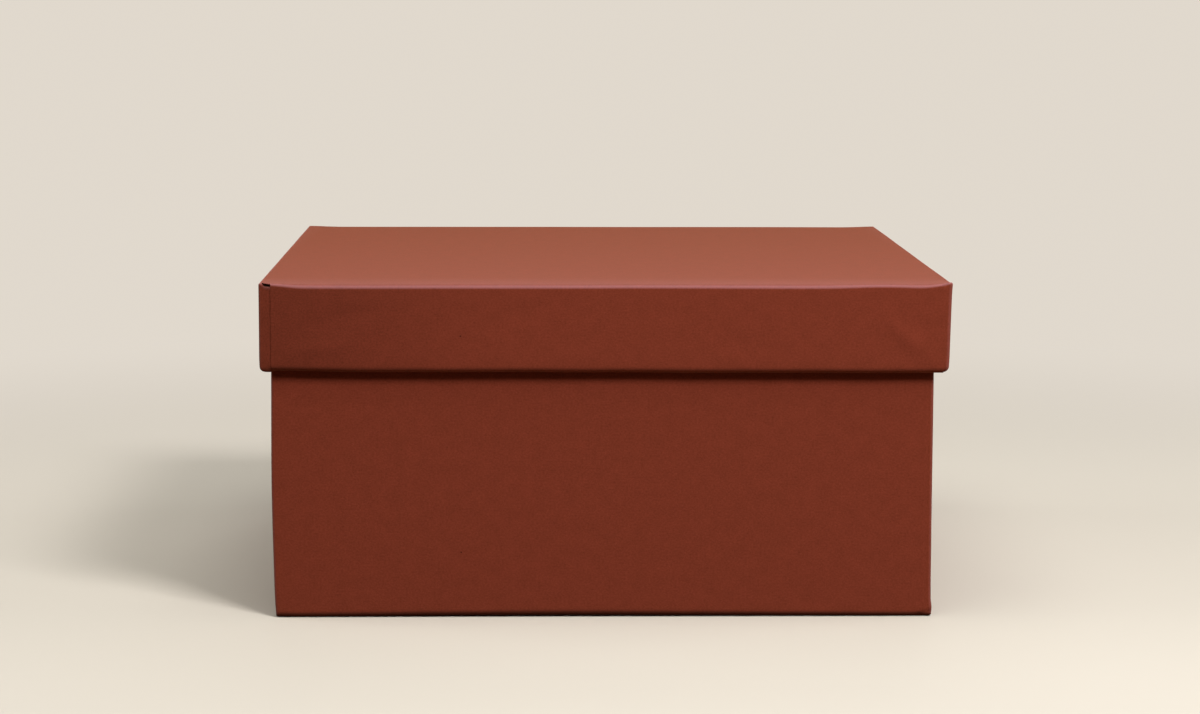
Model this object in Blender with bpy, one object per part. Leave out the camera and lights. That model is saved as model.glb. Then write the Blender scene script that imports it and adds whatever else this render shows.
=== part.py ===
"""Rigid gift box: a wrapped board base with a lift-off lid.

Metres, +Z up. The box stands on the middle of its underside at the origin and its front faces -Y.
Base and lid are built alike, as trays in their own frames: closed end at z = 0, open rim at the top.
The lid's frame is turned over and sits at the top of the box.
"""

import math
from dataclasses import dataclass

import bmesh
import bpy

MM = 0.001

# Outside sizes, over the paper
LID_WIDTH = 160.0 * MM
LID_DEPTH = 160.0 * MM
BOX_HEIGHT = 79.2 * MM
LID_SKIRT = 20.4 * MM

# Sheet thicknesses, and the glue between any two sheets
BOARD = 1.5 * MM
WRAP_PAPER = 0.2 * MM
LINING_PAPER = 0.15 * MM
CORNER_TAPE = 0.12 * MM
GLUE_FILM = 0.1 * MM

# Fit of the lid: air at each side of the base, and under the lid where it rests on the rim
LID_CLEARANCE = 0.6 * MM
REST_GAP = 0.3 * MM

# Rounding of the boards' outer edges, never more than its share of the board
BOARD_EDGE_RADIUS = 0.7 * MM
BOARD_EDGE_SHARE = 0.45

# Paper and tape inside the box
BASE_TURN_IN = 18.0 * MM
INNER_FOLD_RADIUS = 0.3 * MM
TAPE_LEG = 12.0 * MM
LINING_OVERLAP = 4.0 * MM
LINING_JOG = 0.6 * MM
LINING_MARGIN = 0.6 * MM

# Facets of a rounded edge
FOLD_STEPS = 4
BOARD_EDGE_STEPS = 3

# Layers of a wall, counted inwards from the outside of the paper
EDGE_ROUND = min(BOARD_EDGE_RADIUS, BOARD_EDGE_SHARE * BOARD)
WRAP_GAP = GLUE_FILM + CORNER_TAPE + GLUE_FILM
BOARD_OUT = WRAP_PAPER + WRAP_GAP
BOARD_IN = BOARD_OUT + BOARD
WALL = BOARD_IN + GLUE_FILM + WRAP_PAPER
LINING_FACE = BOARD_IN + GLUE_FILM + LINING_PAPER
OUTER_FOLD = EDGE_ROUND + BOARD_OUT
RIM_FOLD = EDGE_ROUND + GLUE_FILM + WRAP_PAPER

# A tray's four walls and corners, by the turn that carries the first to each of them
BASE_WALLS = ("front", "right", "back", "left")
LID_WALLS = ("back", "right", "front", "left")
QUARTER_TURN = math.pi / 2
SMOOTH_ANGLE = math.radians(40)


@dataclass
class Tray:
    """One wrapped tray: its outside size, where its turned-in paper ends, and how its walls are named."""

    name: str
    width: float
    depth: float
    height: float
    turn_end: float
    walls: tuple
    frame: object


def material(name, colour, roughness):
    """A paper or board finish."""
    finish = bpy.data.materials.new(name)
    finish.use_nodes = True
    shader = finish.node_tree.nodes["Principled BSDF"]
    shader.inputs["Base Color"].default_value = (*colour, 1.0)
    shader.inputs["Roughness"].default_value = roughness
    shader.inputs["Metallic"].default_value = 0.0
    return finish


def piece(name, mesh, finish, parent, location=(0, 0, 0), turn=0):
    """A named object carrying a mesh, at its place in a tray's frame."""
    new = bpy.data.objects.new(name, mesh)
    bpy.context.collection.objects.link(new)
    new.parent = parent
    new.location = location
    new.rotation_euler = (0, 0, turn)
    if not mesh.materials:
        mesh.materials.append(finish)
    return new


def mesh_of(bm, name):
    """Turns a finished bmesh into a mesh with its flat and rounded faces shaded apart."""
    bmesh.ops.recalc_face_normals(bm, faces=bm.faces)
    mesh = bpy.data.meshes.new(name)
    bm.to_mesh(mesh)
    bm.free()
    mesh.shade_smooth()
    mesh.set_sharp_from_angle(angle=SMOOTH_ANGLE)
    return mesh


def thicken(sheet, thickness):
    """Gives a paper surface its thickness, away from its visible side."""
    solidify = sheet.modifiers.new("paper", "SOLIDIFY")
    solidify.thickness = thickness
    solidify.offset = -1
    solidify.use_even_offset = True
    solidify.use_quality_normals = True


def quarter_arc(steps):
    """The angles of a fold of 90 degrees."""
    return [QUARTER_TURN * step / steps for step in range(steps + 1)]


def ring_points(half_x, half_y, radius, z):
    """Points round a rectangle with rounded corners, anticlockwise seen from above."""
    points = []
    for corner, (sign_x, sign_y) in enumerate(((1, 1), (-1, 1), (-1, -1), (1, -1))):
        centre_x = sign_x * (half_x - radius)
        centre_y = sign_y * (half_y - radius)
        for angle in quarter_arc(FOLD_STEPS):
            turned = angle + corner * QUARTER_TURN
            points.append((centre_x + radius * math.cos(turned), centre_y + radius * math.sin(turned), z))
    return points


def add_rings(bm, tray, stations):
    """Adds a ring of points for each (inset, z) station and joins each ring to the next."""
    rings = []
    for inset, z in stations:
        radius = max(OUTER_FOLD - inset, INNER_FOLD_RADIUS)
        points = ring_points(tray.width / 2 - inset, tray.depth / 2 - inset, radius, z)
        rings.append([bm.verts.new(point) for point in points])
    for lower, upper in zip(rings, rings[1:]):
        for index in range(len(lower)):
            after = (index + 1) % len(lower)
            bm.faces.new((lower[index], lower[after], upper[after], upper[index]))
    return rings


def wrap_stations(tray):
    """The wrap's visible side: up from the closed end, over the rim and down the inside."""
    closed_end = [
        (OUTER_FOLD * (1 - math.sin(angle)), OUTER_FOLD * (1 - math.cos(angle)))
        for angle in quarter_arc(FOLD_STEPS)
    ]
    rim_outside = [
        (OUTER_FOLD * (1 - math.cos(angle)), tray.height - OUTER_FOLD * (1 - math.sin(angle)))
        for angle in quarter_arc(FOLD_STEPS)
    ]
    rim_inside = [
        (WALL - RIM_FOLD * (1 - math.sin(angle)), tray.height - RIM_FOLD * (1 - math.cos(angle)))
        for angle in quarter_arc(FOLD_STEPS)
    ]
    return closed_end + rim_outside + rim_inside + [(WALL, tray.turn_end)]


def add_wrap(tray, finish):
    """The one-piece covering paper, turned in over the rim."""
    bm = bmesh.new()
    rings = add_rings(bm, tray, wrap_stations(tray))
    bm.faces.new(list(reversed(rings[0])))
    name = tray.name + "_wrap"
    mesh = mesh_of(bm, name)
    thicken(piece(name, mesh, finish, tray.frame), WRAP_PAPER)


def add_sheet_lining(tray, name, inset, finish):
    """A flat sheet that lines the closed end, inside the walls."""
    bm = bmesh.new()
    face_height = LINING_FACE
    points = ring_points(tray.width / 2 - inset, tray.depth / 2 - inset, INNER_FOLD_RADIUS, face_height)
    sheet = bm.faces.new([bm.verts.new(point) for point in points])
    sheet.normal_update()
    mesh = bpy.data.meshes.new(name)
    bm.to_mesh(mesh)
    bm.free()
    thicken(piece(name, mesh, finish, tray.frame), LINING_PAPER)


def add_wall_lining(tray, name, finish):
    """A band that lines the walls from the closed end up, over the lower edge of the turned-in paper."""
    jog_top = tray.turn_end - GLUE_FILM
    over_turn_in = WALL + GLUE_FILM + LINING_PAPER
    stations = [
        (LINING_FACE, BOARD_IN + GLUE_FILM),
        (LINING_FACE, jog_top - LINING_JOG),
        (over_turn_in, jog_top),
        (over_turn_in, tray.turn_end + LINING_OVERLAP),
    ]
    bm = bmesh.new()
    add_rings(bm, tray, stations)
    bmesh.ops.reverse_faces(bm, faces=bm.faces)
    mesh = bpy.data.meshes.new(name)
    bm.to_mesh(mesh)
    bm.free()
    thicken(piece(name, mesh, finish, tray.frame), LINING_PAPER)


def board_mesh(name, size, is_rounded):
    """A board panel about its own centre, with the edges that is_rounded picks worn round.

    is_rounded is given the middle of an edge in units of the panel's half size.
    """
    bm = bmesh.new()
    bmesh.ops.create_cube(bm, size=1)
    bmesh.ops.scale(bm, vec=size, verts=bm.verts)
    half = [length / 2 for length in size]
    picked = []
    for edge in bm.edges:
        middle = (edge.verts[0].co + edge.verts[1].co) / 2
        if is_rounded(*(round(middle[axis] / half[axis]) for axis in range(3))):
            picked.append(edge)
    bmesh.ops.bevel(
        bm,
        geom=picked,
        offset=EDGE_ROUND,
        offset_type="OFFSET",
        segments=BOARD_EDGE_STEPS,
        profile=0.5,
        affect="EDGES",
        clamp_overlap=True,
    )
    return mesh_of(bm, name)


def add_end_board(tray, name, finish):
    """The board that closes the tray, as wide as the walls that stand on it."""
    size = (tray.width - 2 * BOARD_OUT, tray.depth - 2 * BOARD_OUT, BOARD)
    mesh = board_mesh(name, size, lambda x, y, z: z <= 0)
    piece(name, mesh, finish, tray.frame, (0, 0, BOARD_OUT + BOARD / 2))


def add_wall_boards(tray, finish):
    """Four walls on the end board: two run the full depth and the other two fit between them."""
    foot = BOARD_IN + GLUE_FILM
    rim = tray.height - BOARD_OUT
    middle = (foot + rim) / 2
    between = tray.width - 2 * (BOARD_IN + GLUE_FILM)
    full = tray.depth - 2 * BOARD_OUT
    between_mesh = board_mesh(
        tray.name + "_between_walls", (between, BOARD, rim - foot), lambda x, y, z: z > 0 and x == 0
    )
    full_mesh = board_mesh(
        tray.name + "_full_walls", (full, BOARD, rim - foot), lambda x, y, z: z > 0 or (z == 0 and y < 0)
    )
    reach = {0: tray.depth / 2, 1: tray.width / 2}
    for turns, wall in enumerate(tray.walls):
        turn = turns * QUARTER_TURN
        out = reach[turns % 2] - BOARD_OUT - BOARD / 2
        mesh = full_mesh if turns % 2 else between_mesh
        place = (out * math.sin(turn), -out * math.cos(turn), middle)
        piece(f"{tray.name}_{wall}_wall_board", mesh, finish, tray.frame, place, turn)


def tape_mesh(tray):
    """Gummed tape folded round an upright corner, about the centre of the corner's rounding."""
    radius = EDGE_ROUND + GLUE_FILM + CORNER_TAPE
    low = BOARD_OUT + EDGE_ROUND
    high = tray.height - BOARD_OUT - EDGE_ROUND
    outline = [(-TAPE_LEG, -radius)]
    for angle in quarter_arc(FOLD_STEPS):
        outline.append((radius * math.sin(angle), -radius * math.cos(angle)))
    outline.append((radius, TAPE_LEG))
    bm = bmesh.new()
    lower = [bm.verts.new((x, y, low)) for x, y in outline]
    upper = [bm.verts.new((x, y, high)) for x, y in outline]
    for index in range(len(outline) - 1):
        bm.faces.new((lower[index], lower[index + 1], upper[index + 1], upper[index]))
    mesh = bpy.data.meshes.new(tray.name + "_corner_tape")
    bm.to_mesh(mesh)
    bm.free()
    mesh.shade_smooth()
    return mesh


def add_corner_tapes(tray, finish):
    """One tape on each upright corner, under the wrap."""
    mesh = tape_mesh(tray)
    out_x = tray.width / 2 - OUTER_FOLD
    out_y = tray.depth / 2 - OUTER_FOLD
    corners = ((out_x, -out_y), (out_x, out_y), (-out_x, out_y), (-out_x, -out_y))
    for turns, (x, y) in enumerate(corners):
        sides = {tray.walls[turns], tray.walls[(turns + 1) % len(tray.walls)]}
        end = "front" if "front" in sides else "back"
        side = "left" if "left" in sides else "right"
        name = f"{tray.name}_corner_tape_{end}_{side}"
        thicken(piece(name, mesh, finish, tray.frame, (x, y, 0), turns * QUARTER_TURN), CORNER_TAPE)


def frame_empty(name, height=0, turned_over=False):
    """The frame that carries one tray's pieces, on the upright axis that the lid lifts along."""
    frame = bpy.data.objects.new(name, None)
    bpy.context.collection.objects.link(frame)
    frame.location = (0, 0, height)
    frame.rotation_euler = (math.pi if turned_over else 0, 0, 0)
    return frame


def clear_scene():
    """Removes whatever the file opened with."""
    for old in list(bpy.data.objects):
        bpy.data.objects.remove(old, do_unlink=True)


def build_box():
    """Builds both trays and lines them."""
    paper = material("terracotta_paper", (0.175, 0.036, 0.021), 0.8)
    greyboard = material("greyboard", (0.33, 0.30, 0.26), 0.9)
    tape = material("kraft_tape", (0.36, 0.22, 0.12), 0.75)
    lining = material("lining_paper", (0.76, 0.72, 0.64), 0.85)

    base_height = BOX_HEIGHT - LINING_FACE - REST_GAP
    overhang = WALL + LID_CLEARANCE
    base = Tray(
        "base",
        LID_WIDTH - 2 * overhang,
        LID_DEPTH - 2 * overhang,
        base_height,
        base_height - BASE_TURN_IN,
        BASE_WALLS,
        frame_empty("base_frame"),
    )
    lid = Tray(
        "lid",
        LID_WIDTH,
        LID_DEPTH,
        LID_SKIRT,
        LINING_FACE + GLUE_FILM,
        LID_WALLS,
        frame_empty("lid_frame", BOX_HEIGHT, turned_over=True),
    )
    end_names = {"base": "base_floor", "lid": "lid_top"}
    for tray in (base, lid):
        add_end_board(tray, end_names[tray.name] + "_board", greyboard)
        add_wall_boards(tray, greyboard)
        add_corner_tapes(tray, tape)
        add_wrap(tray, paper)
    add_wall_lining(base, "base_wall_lining", lining)
    add_sheet_lining(base, "base_floor_lining", LINING_FACE + LINING_MARGIN, lining)
    add_sheet_lining(lid, "lid_top_lining", WALL + LINING_MARGIN, lining)


clear_scene()
build_box()
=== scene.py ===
"""Looks of the rigid gift box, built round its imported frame.

Each covering paper is made as the real one is: a cross-shaped blank folded over a tray. Its side flaps have
tabs that pass round the upright corners under the front and back flaps. Metres, +Z up, front towards -Y.
"""

import math
from dataclasses import dataclass, field

import bmesh
import bpy
from mathutils import Matrix, Vector, noise


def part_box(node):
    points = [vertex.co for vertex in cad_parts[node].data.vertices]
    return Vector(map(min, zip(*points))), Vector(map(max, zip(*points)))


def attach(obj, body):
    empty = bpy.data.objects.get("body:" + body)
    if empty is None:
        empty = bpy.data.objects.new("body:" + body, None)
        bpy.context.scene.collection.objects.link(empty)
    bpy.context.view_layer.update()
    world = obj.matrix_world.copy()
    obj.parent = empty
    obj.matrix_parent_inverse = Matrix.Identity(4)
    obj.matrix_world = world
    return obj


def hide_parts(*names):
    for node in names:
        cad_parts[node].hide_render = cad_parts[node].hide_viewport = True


MM = 0.001
QUARTER_TURN = math.pi / 2
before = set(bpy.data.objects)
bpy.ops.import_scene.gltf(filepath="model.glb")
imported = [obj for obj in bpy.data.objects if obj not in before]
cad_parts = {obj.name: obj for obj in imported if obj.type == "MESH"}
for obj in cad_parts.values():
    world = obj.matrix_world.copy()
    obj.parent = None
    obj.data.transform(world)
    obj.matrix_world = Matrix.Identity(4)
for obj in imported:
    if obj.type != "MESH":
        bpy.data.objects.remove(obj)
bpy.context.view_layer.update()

# The papers wave in the same way in every run
NOISE_SEED = 7
noise.seed_set(NOISE_SEED)

# Papers
PAPER = 0.2 * MM
GLUE_FILM = 0.1 * MM
LINING_PAPER = 0.15 * MM
LINING_OVERLAP = 4.0 * MM
LINING_LAP = 7.0 * MM
LINING_LAP_EASE = 2.0 * MM
LINING_LAP_RISE = 1.3 * LINING_PAPER
LINING_CORNER = 0.9 * MM
LINING_JOG = 0.7 * MM
LINING_TRIM = 0.25 * MM
LINING_EDGE_LIFT = 0.05 * MM
LINING_EDGE_START_SHARE = 0.9

# Unevenness of the lining papers, as the height and length of its waves
PANEL_CUT = (0.12 * MM, 30 * MM)
PANEL_COCKLE = (0.04 * MM, 18 * MM)
WALL_CUT = (0.3 * MM, 40 * MM)
WALL_COCKLE = (0.05 * MM, 16 * MM)

# Places in the noise that keep the linings unlike each other; the panels' go by the way that they face
PANEL_SEEDS = {1: 2.0, -1: 6.0}
WALL_SEED = 5.0

# Folds of the covering papers, measured on their outside
RIM_OUT = 1.35 * MM
RIM_IN = 0.85 * MM
INNER_CORNER = 0.35 * MM
LID_END_FOLD = 0.6 * MM
CROWN_REACH = 9.0 * MM
CROWN_POWER = 1.2
CROWN_SHARE = 0.45
CROWN_EDGE = 1.2 * MM

# The outer side of a wall fades into its inner side between these shares of its thickness
OUTSIDE_SHARES = (0.4, 0.8)

# A side's lean grows from none to full between these shares of half the width
LEAN_SHARES = (0.4, 0.95)

# Scuffing and painted highlight, in parts of the pale colour's full share: the lid's front fold and the
# front of its top carry a painted highlight and painted light, growing towards the front edge; other folds
# are scuffed
CROWN_WEAR_AND_HIGHLIGHT = 0.65
EDGE_WEAR_AND_HIGHLIGHT = 2.0
RIM_WEAR = 0.15
CORNER_WEAR = 0.5
FRONT_HIGHLIGHT_BAND = 14.0 * MM
OTHER_RUB = 5.5 * MM
BAND_START_SHARE = 0.1
OTHER_SHARE = 0.2
FRONT_LIGHT_SHARE = 0.4
FRONT_LIGHT_POWER = 1.5

# Soil and painted shade, as shares of their near-black colour: a painted shadow line with soil at the
# seams, full where a flap's edge stands FULL_EDGE high; painted contact shade with soil along the base's
# bottom fold; and the shares of its reach between which a darkened corner fades
SEAM_SHADE_AND_SOIL = 0.3
FULL_EDGE = 0.12 * MM
BOTTOM_SHADE_AND_SOIL = 0.6
BOTTOM_SHADE_REACH = 1.4 * MM
CORNER_FADE_SHARES = (-0.1, 1.0)

# Mesh fineness
SPACING = 2.2 * MM
DENT_SPACING = 0.9 * MM
FINE_SPACING = 0.4 * MM
STRIP_SPACING = 0.3 * MM
SPACING_GROWTH = 1.3
FOLD_ROWS = 8
RIM_ROWS = 6
CORNER_COLUMNS = 6
LINING_CORNER_COLUMNS = 4
TAB_TUCK = 3.0 * MM
WELD = 0.001 * MM
SHARP_EDGE = math.radians(55)

# The flaps' cut edges over the tabs: how they wander, how unevenly they are pressed and where the painted
# shadow line with soil starts
EDGE_WANDER = 0.12 * MM
WANDER_WAVE = 5.1 * MM
PRESS_WAVE = 1.7 * MM
PRESS_SHARE = 0.7
SEAM_WIDTH = 1.2 * STRIP_SPACING
RIM_STEP_SHARE = 0.3

# Camera, fitted to the box's edges in the photograph
CAMERA_PLACE = (-17.58 * MM, -765.55 * MM, 149.68 * MM)
CAMERA_YAW = math.radians(-1.37)
CAMERA_PITCH = math.radians(7.278)
CAMERA_ROLL = math.radians(0.176)
CAMERA_LENS = 89.53
CAMERA_SENSOR = 36.0
CAMERA_REACH = (10 * MM, 200.0)

# Stage
FLOOR_HALF = 60.0
BACKDROP = (0.75, 0.69, 0.61)
SURROUND_LEVEL = 0.05
FLOOR_SEEN = (0.56, 0.525, 0.478)
FLOOR_IN_LIGHT = (0.14, 0.095, 0.055)
FLOOR_FADE = (0.13, 0.48)
FLOOR_ROUGHNESS = 0.9
FLOOR_SHINE = 0.1

# Soft boxes as (name, place, height of the aim, size, power, colour)
WARM = (1.0, 0.97, 0.93)
STRAW = (1.0, 1.0, 0.9)
LAMPS = (
    ("key", (0.38, -0.62, 0.68), 0.04, 0.26, 8.9, WARM),
    ("overhead", (-0.08, -0.3, 1.03), 0.05, 0.8, 6.4, STRAW),
    ("left_fill", (-0.95, 0.05, 0.55), 0.04, 0.6, 3.5, WARM),
    ("right_fill", (1.0, 0.1, 0.55), 0.04, 0.6, 2.5, WARM),
    ("back_fill", (0.1, 0.95, 0.75), 0.04, 0.6, 3.0, WARM),
)


def lerp(a, b, share):
    """The value at that share of the way from a to b."""
    return a + (b - a) * share


def ease(low, high, value):
    """Runs smoothly from 0 at low to 1 at high."""
    share = min(1.0, max(0.0, (value - low) / (high - low)))
    return share * share * (3 - 2 * share)


def bell(centre, reach, value):
    """A smooth hump, 1 at the centre."""
    return math.exp(-(((value - centre) / reach) ** 2))


def shares(count):
    """Even shares from 0 to 1."""
    return [index / count for index in range(count + 1)]


def steps(low, high, spacing):
    """Even places from low to high, about that far apart."""
    return [lerp(low, high, share) for share in shares(max(1, round((high - low) / spacing)))]


def graded(low, high, spacing=SPACING):
    """Places from low to high, close together at both ends."""
    near = [0.0]
    step = FINE_SPACING
    while step < spacing and near[-1] + step < (high - low) / 2 - spacing:
        near.append(near[-1] + step)
        step *= SPACING_GROWTH
    middle = steps(low + near[-1], high - near[-1], spacing)
    return [low + gap for gap in near[:-1]] + middle + [high - gap for gap in reversed(near[:-1])]


def refined(places, spans):
    """The places with more of them inside the given spans, so that small dents show there."""
    finer = []
    for low, high in zip(places, places[1:]):
        dented = any(start < (low + high) / 2 < end for start, end in spans)
        finer += steps(low, high, DENT_SPACING)[:-1] if dented else [low]
    return finer + [places[-1]]


def waves(size, length, place):
    """Smooth unevenness of about that size and wave length, at a place."""
    return size * noise.noise(Vector(place) / length)


def join_rows(bm, rows, flip):
    """Faces between rows of points."""
    for first, second in zip(rows, rows[1:]):
        for j in range(len(first) - 1):
            corners = [first[j], first[j + 1], second[j + 1], second[j]]
            bm.faces.new(reversed(corners) if flip else corners)


def make_mesh(name, bm):
    """The mesh of a bmesh, which is used up."""
    mesh = bpy.data.meshes.new(name)
    bm.to_mesh(mesh)
    bm.free()
    return mesh


def add_object(name, data):
    """A new object in the scene."""
    made = bpy.data.objects.new(name, data)
    bpy.context.scene.collection.objects.link(made)
    return made


@dataclass
class Corner:
    """An upright corner of a tray, where a side flap's tab passes under the front or back flap.

    Its values are its rounding, how far the flap over the tab stops short of the tray's side, the height
    of that flap's edge over the tab, and how much further out that edge ends at the rim. Neither of the
    first two is less than the tray's side fold, so that the tab always reaches under the flap.
    """

    radius: float
    short: float
    edge: float = 0.06 * MM
    slant: float = 0.0
    notched: bool = False


@dataclass
class Tray:
    """One covered tray. Depth is counted from its closed face towards its rim.

    Each darkened corner is (side, way, reach, share): an upright corner, how far it is darkened and how
    much.
    """

    half_x: float
    half_y: float
    height: float
    closed_z: float
    up: int
    wall: float
    turn_end: float
    side_fold: float
    end_fold: float
    side_drop: float
    wear_and_highlight_level: float
    row_spacing: float
    dented: tuple
    corners: dict
    rim_rise: dict
    darkened_corners: list
    warps: list = field(default_factory=list)

    def place(self, x, y, depth):
        """A point of the tray in the frame."""
        return Vector((x, y, self.closed_z + self.up * depth))

    def depth_of(self, point):
        """How far a point lies from the closed face."""
        return (point.z - self.closed_z) * self.up

    def outside_share(self, point):
        """1 on the outside of the tray, 0 on the inside of its walls."""
        inset = min(self.half_x - abs(point.x), self.half_y - abs(point.y))
        if self.depth_of(point) < self.wall / 2:
            return 1.0
        start, end = (share * self.wall for share in OUTSIDE_SHARES)
        return 1.0 - ease(start, end, inset)

    def corner_shade_and_soil(self, point):
        """How much the skirt is darkened at a point near the listed upright corners, by painted shade and
        by soil.
        """
        darkest = 0.0
        for side, way, reach, share in self.darkened_corners:
            away = math.hypot(point.x - side * self.half_x, point.y - way * self.half_y)
            start, end = (bound * reach for bound in CORNER_FADE_SHARES)
            darkest = max(darkest, share * (1 - ease(start, end, away)))
        return darkest * ease(0.0, self.end_fold, self.depth_of(point)) * self.outside_share(point)

    def bottom_shade_and_soil(self, point):
        """How much the lowest fold of a tray that stands on the floor is darkened at a point: painted
        contact shade, with soil.
        """
        if self.up < 0:
            return 0.0
        inset = min(self.half_x - abs(point.x), self.half_y - abs(point.y))
        near = 1 - ease(0.0, 2 * BOTTOM_SHADE_REACH, inset)
        return BOTTOM_SHADE_AND_SOIL * near * (1 - ease(0.0, BOTTOM_SHADE_REACH, self.depth_of(point)))

    def flap_end(self, side, end):
        """Where along x the front or back flap ends, on the closed face."""
        return side * (self.half_x - self.corners[side, end].short)

    def rim(self, end, x):
        """Depth of the rim of the front or back flap."""
        return self.height - self.rim_rise[end](x)


# Rows of a folded flap, from the closed face round the rim to the turned-in edge
BEND, SKIRT, RIM_OUTSIDE, RIM_INSIDE, INSIDE = range(5)


def flap_rows(tray):
    """The rows of points down a flap as (zone, share of the zone)."""
    rows = [(BEND, share) for share in shares(FOLD_ROWS)]
    rows += [(SKIRT, place / tray.height) for place in graded(0.0, tray.height, tray.row_spacing)[1:]]
    rows += [(RIM_OUTSIDE, share) for share in shares(RIM_ROWS)[1:]]
    rows += [(RIM_INSIDE, share) for share in shares(RIM_ROWS)]
    inside_rows = max(3, round((tray.height - tray.turn_end) / SPACING))
    rows += [(INSIDE, share) for share in shares(inside_rows)[1:]]
    return rows


def profile(tray, row, rim_depth, fold):
    """(inset, depth, length along the paper) of a row of a flap."""
    zone, share = row
    angle = share * QUARTER_TURN
    if zone == BEND:
        return fold * (1 - math.sin(angle)), fold * (1 - math.cos(angle)), fold * angle
    skirt_length = rim_depth - RIM_OUT - fold
    along = fold * QUARTER_TURN
    if zone == SKIRT:
        return 0.0, fold + skirt_length * share, along + skirt_length * share
    along += skirt_length
    if zone == RIM_OUTSIDE:
        inset = RIM_OUT * (1 - math.cos(angle))
        return inset, rim_depth - RIM_OUT * (1 - math.sin(angle)), along + RIM_OUT * angle
    along += RIM_OUT * QUARTER_TURN + tray.wall - RIM_OUT - RIM_IN
    if zone == RIM_INSIDE:
        inset = tray.wall - RIM_IN * (1 - math.sin(angle))
        return inset, rim_depth - RIM_IN * (1 - math.cos(angle)), along + RIM_IN * angle
    along += RIM_IN * QUARTER_TURN
    depth = lerp(rim_depth - RIM_IN, tray.turn_end, share)
    return tray.wall, depth, along + rim_depth - RIM_IN - depth


def fold_wear_and_highlight(tray, row):
    """How much a row is paler by its fold: scuffing, and on the closed face's bend a painted highlight."""
    zone, share = row
    if zone == BEND:
        # The bend is paler by scuffing and by a painted highlight
        return tray.wear_and_highlight_level * lerp(CROWN_WEAR_AND_HIGHLIGHT, EDGE_WEAR_AND_HIGHLIGHT, math.sin(math.pi * share)) * (1 - share**3)
    if zone == RIM_OUTSIDE:
        return RIM_WEAR * share
    if zone == RIM_INSIDE:
        return RIM_WEAR * (1 - share)
    return 0.0


# The small open notch at a loose corner, from the top paper's edge through a pocket to the tab's lip, as
# (inset, depth, painted shade, scuffing with painted highlight), and the share of it where the tab's hidden
# end starts. The pocket's near-black colour is painted shade, and the paler edge and lip are painted
# highlight
NOTCH_OUTLINE = (
    (LID_END_FOLD, 0.00 * MM, 0.0, 0.5),
    (0.42 * MM, 0.03 * MM, 0.0, 1.0),
    (0.20 * MM, 0.16 * MM, 0.2, 0.5),
    (0.34 * MM, 0.28 * MM, 1.0, 0.0),
    (0.62 * MM, 0.34 * MM, 1.0, 0.0),
    (0.62 * MM, 0.62 * MM, 1.0, 0.0),
    (0.30 * MM, 0.74 * MM, 0.9, 0.0),
    (0.06 * MM, 0.86 * MM, 0.0, 1.0),
    (0.06 * MM, 1.15 * MM, 0.0, 0.6),
)
NOTCH_DEPTH = NOTCH_OUTLINE[-1][1]
NOTCH_FADE = 0.9 * MM
POCKET_START = 4 / (len(NOTCH_OUTLINE) - 1)


class Sheet:
    """A folded paper surface being built: points with their place on the flat blank, their paling by scuffs
    and painted highlight, and their darkening by soil and painted shade.
    """

    def __init__(self, tray):
        self.tray = tray
        self.bm = bmesh.new()
        self.paper = self.bm.verts.layers.float_vector.new("paper")
        self.wear_and_highlight = self.bm.verts.layers.float.new("wear_and_highlight")
        self.shade_and_soil = self.bm.verts.layers.float.new("shade_and_soil")

    def grid(self, rows, flip):
        """Joins rows of (x, y, depth, u, v, paling, darkening) points into faces. Paling is scuffing with
        painted highlight; darkening is soil with painted shade.
        """
        made = []
        for row in rows:
            line = []
            for x, y, depth, u, v, wear_and_highlight, shade_and_soil in row:
                vert = self.bm.verts.new(self.tray.place(x, y, depth))
                vert[self.paper] = Vector((u, v, 0.0))
                vert[self.wear_and_highlight] = wear_and_highlight
                vert[self.shade_and_soil] = shade_and_soil
                line.append(vert)
            made.append(line)
        join_rows(self.bm, made, flip != (self.tray.up > 0))

    def finish(self, name, thickness):
        """Welds the patches, lets the sheet settle and gives it its thickness."""
        bmesh.ops.remove_doubles(self.bm, verts=self.bm.verts, dist=WELD)
        for vert in self.bm.verts:
            # Darkening at the listed corners and along the base's bottom fold: painted shade, with soil
            shade_and_soil_here = self.tray.corner_shade_and_soil(vert.co) + self.tray.bottom_shade_and_soil(vert.co)
            vert[self.shade_and_soil] = max(vert[self.shade_and_soil], shade_and_soil_here)
            for warp in self.tray.warps:
                vert.co += warp(vert.co.copy())
            vert.co.z = max(vert.co.z, 0.0)
        return thicken(name, make_mesh(name, self.bm), thickness)


def thicken(name, mesh, thickness):
    """A piece with the sheet's thickness, smooth but for its cut edges."""
    piece = add_object(name, mesh)
    solidify = piece.modifiers.new("thickness", "SOLIDIFY")
    solidify.thickness = thickness
    solidify.offset = -1
    evaluated = piece.evaluated_get(bpy.context.evaluated_depsgraph_get())
    whole = bpy.data.meshes.new_from_object(evaluated)
    piece.modifiers.clear()
    piece.data = whole
    bpy.data.meshes.remove(mesh)
    whole.name = name
    whole.shade_smooth()
    whole.set_sharp_from_angle(angle=SHARP_EDGE)
    return piece


def closed_columns(tray):
    """Places across the closed face, with the ends of the flaps and of the tabs' strips among them."""
    edge = tray.half_x - tray.side_fold
    left_ends = [tray.flap_end(-1, end) for end in ("front", "back")]
    right_ends = [tray.flap_end(1, end) for end in ("front", "back")]
    columns = []
    marks = sorted({-edge, *left_ends})
    for low, high in zip(marks, marks[1:]):
        columns += steps(low, high, STRIP_SPACING)[:-1]
    columns += refined(graded(max(left_ends), min(right_ends)), tray.dented)
    marks = sorted({edge, *right_ends})
    for low, high in zip(marks, marks[1:]):
        columns += steps(low, high, STRIP_SPACING)[1:]
    return columns


def closed_rows(tray):
    """Places along the side edges of the closed face."""
    edge = tray.half_y - tray.end_fold
    return graded(-edge, edge)


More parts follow.
